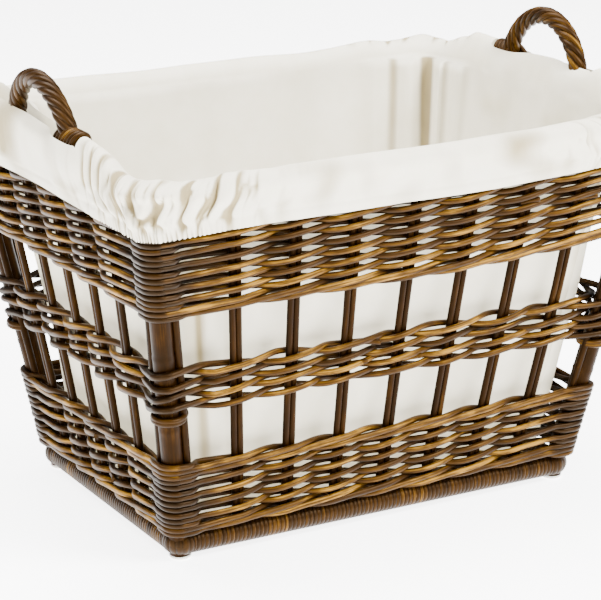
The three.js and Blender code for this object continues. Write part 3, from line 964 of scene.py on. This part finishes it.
class ClothColumns(Round):
    """Places round the liner, close together near the corners where it is gathered."""

    def __init__(self):
        super().__init__()
        gaps, corners = [], []
        arc = 30.0
        for w in range(4):
            half = (half_length(340) if w % 2 == 0 else half_width(340)) - CLOTH_CORNER
            first = np.concatenate([np.arange(0, 85, 1.0), np.arange(85, half, 3.6)])
            for place in np.concatenate([first, [half], 2 * half - first[:0:-1]]):
                past = place < half
                self.add(w, place / half - 1, 0.0)
                gaps.append(place + arc / 2 if past else place - 2 * half - arc / 2)
                corners.append((w - 1) % 4 if past else w)
            for step in np.linspace(0, 1, 30, endpoint=False):
                self.add(w, 1.0, step * math.pi / 2)
                gaps.append((step - 0.5) * arc)
                corners.append(w)
        self.settle()
        self.gap, self.corner = np.array(gaps), np.array(corners)  # distance from the nearest corner
        rim = self.ring(0, 340, CLOTH_CORNER)
        run = run_along([*rim, rim[0]])
        self.run, self.u = run[:-1], run[:-1] / run[-1]
        # How far each place on a short wall is along it from the wall's middle.
        self.short_wall = (self.wall % 2 == 1) & (self.angle == 0)
        self.along = self.share * (half_width(350) - CLOTH_CORNER)
        # And from the handle's middle.
        right, left = HANDLE_SHIFT["right"], HANDLE_SHIFT["left"]
        shift = np.select([self.wall == 1, self.wall == 3], [right, -left], 0)
        self.from_handle = np.abs(self.along - shift)

    def ring(self, inset, z, radius):
        """One row of the cloth: set in from the walls' outer faces, at the heights z."""
        return self.at(inset + radius, z, radius)

    def slit(self):
        """1 along the middle of a handle's slit, and 0 beyond its ends."""
        inside = smoothstep(-self.from_handle, -SLIT_HALF_LENGTH, 9 - SLIT_HALF_LENGTH)
        return np.where(self.short_wall, inside, 0.0)

    def over_knots(self):
        """1 where the cloth passes over a handle's knots, and 0 away from them."""
        return np.exp(-((self.from_handle - 62) / 30) ** 4) * self.short_wall

    def side_rise(self):
        """How much higher the fold stands along the short walls, fading out at their ends."""
        fading = smoothstep(np.abs(self.along), 110, half_width(350) - 28)
        back_left = (self.wall == 3) * smoothstep(-self.share, -0.5, 0.6)
        return np.where(self.short_wall, 1 - fading, 0.0) * (SIDE_RISE + BACK_LEFT_RISE * back_left)


def pleat(gap, place, width):
    """A fold that rises steeply on one side and slopes away on the other."""
    x = (gap - place) / width
    return np.where(x < 0, np.exp(-(x / 0.35) ** 2), np.exp(-x ** 2))


def bag_rows(columns):
    """The bag's floor and walls, from the middle of the floor up to the fold."""
    rows = []
    # The floor's front and back halves overlap a little along the middle, the front one on top.
    seam = BAG_BOTTOM + 1.6 + 0.25 * (columns.wall == 0)
    rows.append(columns.ring(half_width(BAG_BOTTOM) + 0.4, seam, 0.01))
    for inset in (125, 100, 76, 56, 42, 34):
        radius = float(np.clip(half_width(BAG_BOTTOM) - inset - 0.5, 0.2, BAG_CORNER))
        rows.append(columns.ring(inset, BAG_BOTTOM + 1.6, radius))
    for inset, rise in ((30, 1.8), (27.5, 3.2), (26, 6), (25.2, 11)):
        rows.append(columns.ring(inset, BAG_BOTTOM + rise, BAG_CORNER))
    heights = np.linspace(BAG_BOTTOM + 18, 347, 44)
    share = (heights - heights[0]) / (heights[-1] - heights[0])
    sag = 1.6 + soft_noise(columns.u, share, 26, 3, 2.2) + soft_noise(columns.u, share, 60, 4, 0.7)
    top = smoothstep(share, 0.15, 1.0)[:, None]
    folds = np.zeros_like(sag)
    for corner, (place, width, depth) in BAG_FOLDS:
        away = np.where(columns.corner == corner, columns.gap, 1e3)
        drift = 8 * (1 - share[:, None])
        folds += depth * pleat(away + drift, place, width) * (0.3 + 0.7 * top)
    hang = np.sin(np.pi * share)[:, None] * 2.0
    height = folds + 0.5 * sag
    # Painted shade in the folds' valleys, set for the side each part is seen from: the front left corner
    # through the wall, from the outside; the rest from the inside.
    front_left = columns.corner == 3
    shade = np.where(front_left, valleys(-height, 0.2), valleys(height, 0.3))
    # A painted strip of shade down the fold near the front left corner.
    shade_strip = np.where(front_left, columns.gap, 1e3) - 9 - 12 * (1 - share[:, None])
    shade = shade + 0.45 * np.exp(-(shade_strip / 8) ** 4)
    for k, z in enumerate(heights):
        knots = KNOT_BULGE * columns.over_knots() * smoothstep(z, 305, 332)
        inset = 24.0 + np.maximum(sag[k] + folds[k] + hang[k], 0.0) + knots
        rows.append(columns.ring(inset, z, BAG_CORNER))
    flat_rows = len(rows) - len(heights)
    return rows, np.vstack([np.zeros((flat_rows, len(columns.u))), shade])


def valleys(height, strength):
    """How deep each place lies below its neighbours along the row, as a share from 0 to 1."""
    around = np.zeros_like(height)
    for step in range(-16, 17, 2):
        around += np.roll(height, step, 1) / 17
    return np.clip((around - height) * strength, 0, 1)


# Folds inside the bag: the corner (front right, back right, back left, front left), the
# place along the rim from that corner, the width and the depth.
BAG_FOLDS = [
    (1, (4, 20, 17)), (1, (-34, 16, 6)), (1, (38, 20, 5)), (1, (-70, 24, 4)),
    (0, (-6, 14, 9)), (0, (30, 15, 6)),
    (2, (3, 15, 10)), (2, (-36, 18, 5)), (2, (40, 18, 5)),
    (3, (22, 12, 9)), (3, (-20, 15, 6)), (3, (58, 20, 4)),
]
GATHER_WAVE, RUCHE_WAVE = 23.0, 4.3  # distance from one fold, or scallop, to the next


def gathers(columns, share):
    """How far the cuff stands out where the elastic draws it together at the corners."""
    corner = np.exp(-np.abs(columns.gap / 90) ** 3)[None]
    warp = soft_noise(columns.u, share, 46, 2, 8.0) + soft_noise(columns.u, share, 110, 3, 2.0)
    slant = soft_noise(columns.u, share, 34, 1, 16.0) * (share[:, None] - 0.5) * 2
    turn = np.pi * (columns.run[None] + warp + slant) / GATHER_WAVE
    pillow = np.abs(np.cos(turn)) ** 1.1 - 0.6
    crumple = soft_noise(columns.u, share, 105, 5) + 0.55 * soft_noise(columns.u, share, 200, 8)
    for across, along, width, depth in ((150, 2, 0.16, 1.0), (250, 3, 0.2, 0.8)):
        crumple = crumple - depth * np.exp(-(soft_noise(columns.u, share, across, along) / width) ** 2)
    strength = 0.7 + 0.3 * soft_noise(columns.u, share, 60, 2)
    window = (smoothstep(share, 0.12, 0.5) * (1 - 0.45 * smoothstep(share, 0.75, 1.0)))[:, None]
    folds = corner * window * (8.5 * strength * pillow + 3.6 * crumple + 3.5)
    calm = (1 - corner) * window
    soft = calm * (soft_noise(columns.u, share, 34, 2, 1.6) + soft_noise(columns.u, share, 90, 3, 0.8))
    return folds + soft + 3.5 * corner * window, corner


def ruche(columns, share):
    """Fine scallops along the hem, strongest at the corners."""
    jitter = soft_noise(columns.u, share, 220, 1, 1.4)
    wave = np.abs(np.cos(np.pi * (columns.run[None] + jitter) / RUCHE_WAVE))
    reach = np.exp(-np.abs(columns.gap / 78) ** 3)[None]
    return wave * (0.12 + 0.88 * reach), reach


# The slit's inner and outer edges, as rows of the fold.
INNER_EDGE, OUTER_EDGE = 5, CREST_ROWS - 5


def cuff_rows(columns):
    """Over the fold and down the outside to the elastic hem."""
    arc = np.linspace(0, math.pi, CREST_ROWS)
    down = np.linspace(0, 1, CUFF_ROWS + 1)[1:]
    below = np.zeros(CUFF_ROWS)
    inset = np.concatenate([10.8 + 13.2 * np.cos(arc), -2.4 + 1.0 * down + 1.2 * down ** 6])
    fold = np.concatenate([np.sin(arc), below])
    drop = np.concatenate([np.zeros(CREST_ROWS), (CUFF_START - HEM_BOTTOM) * down])
    z = FOLD_FOOT + (LINER_TOP - FOLD_FOOT) * fold - drop
    step = np.hypot(np.diff(inset), np.diff(z))
    share = np.concatenate([[0], np.cumsum(step)]) / step.sum()
    out, corner = gathers(columns, share)
    scallop, reach = ruche(columns, share)
    hem = smoothstep(share, 0.80, 0.97)[:, None]
    out = out * (1 - 0.75 * hem * reach) + 1.7 * scallop * hem * reach
    pinch = np.exp(-((share - 0.86) / 0.03) ** 2)[:, None]
    out = out - 0.9 * pinch + 0.8 * hem
    slit = columns.slit()
    outer = smoothstep(share, 0.3, 0.55)[:, None]
    knots = columns.over_knots()[None]
    # Painted shade in the gathers' valleys and between the hem's scallops.
    shade = np.clip(valleys(out, 0.62) + 0.5 * (1 - scallop) * hem * reach, 0, 1)
    inner = np.concatenate([np.sqrt(np.cos(arc).clip(0)), below])[:, None]
    out = out + outer * (1 - hem) * 4.5 * knots - inner * KNOT_BULGE * knots
    crest = fold[:, None]
    wavy = soft_noise(columns.u, share, 30, 1, 1.6)
    rise = crest * (wavy + corner * soft_noise(columns.u, share, 120, 1, 3.4))
    rise = rise + crest * columns.side_rise()[None] - 1.3 * scallop * hem
    rise = rise + soft_noise(columns.u, share, 24, 1, 1.2) * hem
    # On each short wall the knots of one leg stand up out of the slit, and those of the other
    # stay nearly under the fold: the front ones stand up on the left, the back ones on the right.
    hidden = np.select([columns.wall == 3, columns.wall == 1], [0.35, 0.3], 0.0)
    show = np.where((columns.share > 0) & (columns.wall % 2 == 1), 1.0, hidden)
    opening = SLIT_HALF_WIDTH + (KNOT_REACH + 1 - SLIT_HALF_WIDTH) * columns.over_knots() * show
    rows = []
    for k, across in enumerate(inset):
        here = across - out[k]
        if k >= CREST_ROWS:
            here = np.minimum(here, -0.6)
        if k in (INNER_EDGE, OUTER_EDGE):
            side = 1 if k == INNER_EDGE else -1
            here = here + slit * (12 + side * opening - here)
        # Round the corners the hem lies closer to the weaving than the fold does.
        radius = CLOTH_CORNER - 11 * float(smoothstep(share[k], 0.55, 0.82))
        rows.append(columns.ring(here, z[k] + rise[k], radius))
    return rows, shade


def liner():
    columns = ClothColumns()
    bag, bag_shade = bag_rows(columns)
    cuff, cuff_shade = cuff_rows(columns)
    rows, shade = np.array(bag + cuff), np.vstack([bag_shade, cuff_shade])
    keep = np.ones((len(rows) - 1, rows.shape[1]), bool)
    open_columns = (columns.slit() > 0) & (np.roll(columns.slit(), -1) > 0)
    keep[len(bag) + INNER_EDGE:len(bag) + OUTER_EDGE, open_columns] = False
    builder = Builder()
    builder.grid(rows, rows, shade, False, True, keep=keep)
    cad = ("liner_bag", "liner_cuff", "liner_elastic_hem")
    made = builder.build("cotton_liner", COTTON, "cotton_liner", *cad, body="liner")


liner()


# ---------------------------------------------------------------- floor, light and camera
def studio():
    bpy.ops.mesh.primitive_plane_add(size=12, location=(0, 0, 0))
    floor = bpy.context.object
    floor.name = "floor"
    made, _, shader = new_material("pale_floor", 0.6)
    settle(shader, Base_Color=(0.93, 0.93, 0.93, 1), Emission_Color=(1, 1, 1, 1), Emission_Strength=5.2)
    floor.data.materials.append(made)
    world = bpy.context.scene.world or bpy.data.worlds.new("world")
    bpy.context.scene.world = world
    world.use_nodes = True
    settle(world.node_tree.nodes["Background"], Color=(1, 0.985, 0.955, 1), Strength=0.62)
    for name, place, size, power in (
        ("key", (1.0, -1.7, 2.1), 1.0, 225),
        ("top", (-0.3, 0.5, 2.5), 1.8, 225),
        ("fill", (-2.2, -1.2, 1.1), 1.2, 40),
    ):
        light = bpy.data.lights.new(name, "AREA")
        light.energy, light.size = power, size
        lamp = bpy.data.objects.new(name, light)
        lamp.location = place
        towards = Vector((0, 0, 0.2)) - Vector(place)
        lamp.rotation_euler = towards.to_track_quat("-Z", "Y").to_euler()
        bpy.context.scene.collection.objects.link(lamp)


def photo_camera():
    camera = bpy.data.objects.new("camera", bpy.data.cameras.new("camera"))
    camera.location = (-1.0842, -1.9054, 0.845)
    turn, rise = math.radians(-29.54), math.radians(17.06)
    back = Vector((math.sin(turn) * math.cos(rise), -math.cos(turn) * math.cos(rise), math.sin(rise)))
    camera.rotation_euler = back.to_track_quat("Z", "Y").to_euler()
    camera.data.sensor_width = 36
    camera.data.lens = 145.7
    camera.data.clip_start = 0.05
    bpy.context.scene.collection.objects.link(camera)
    bpy.context.scene.camera = camera


studio()
photo_camera()
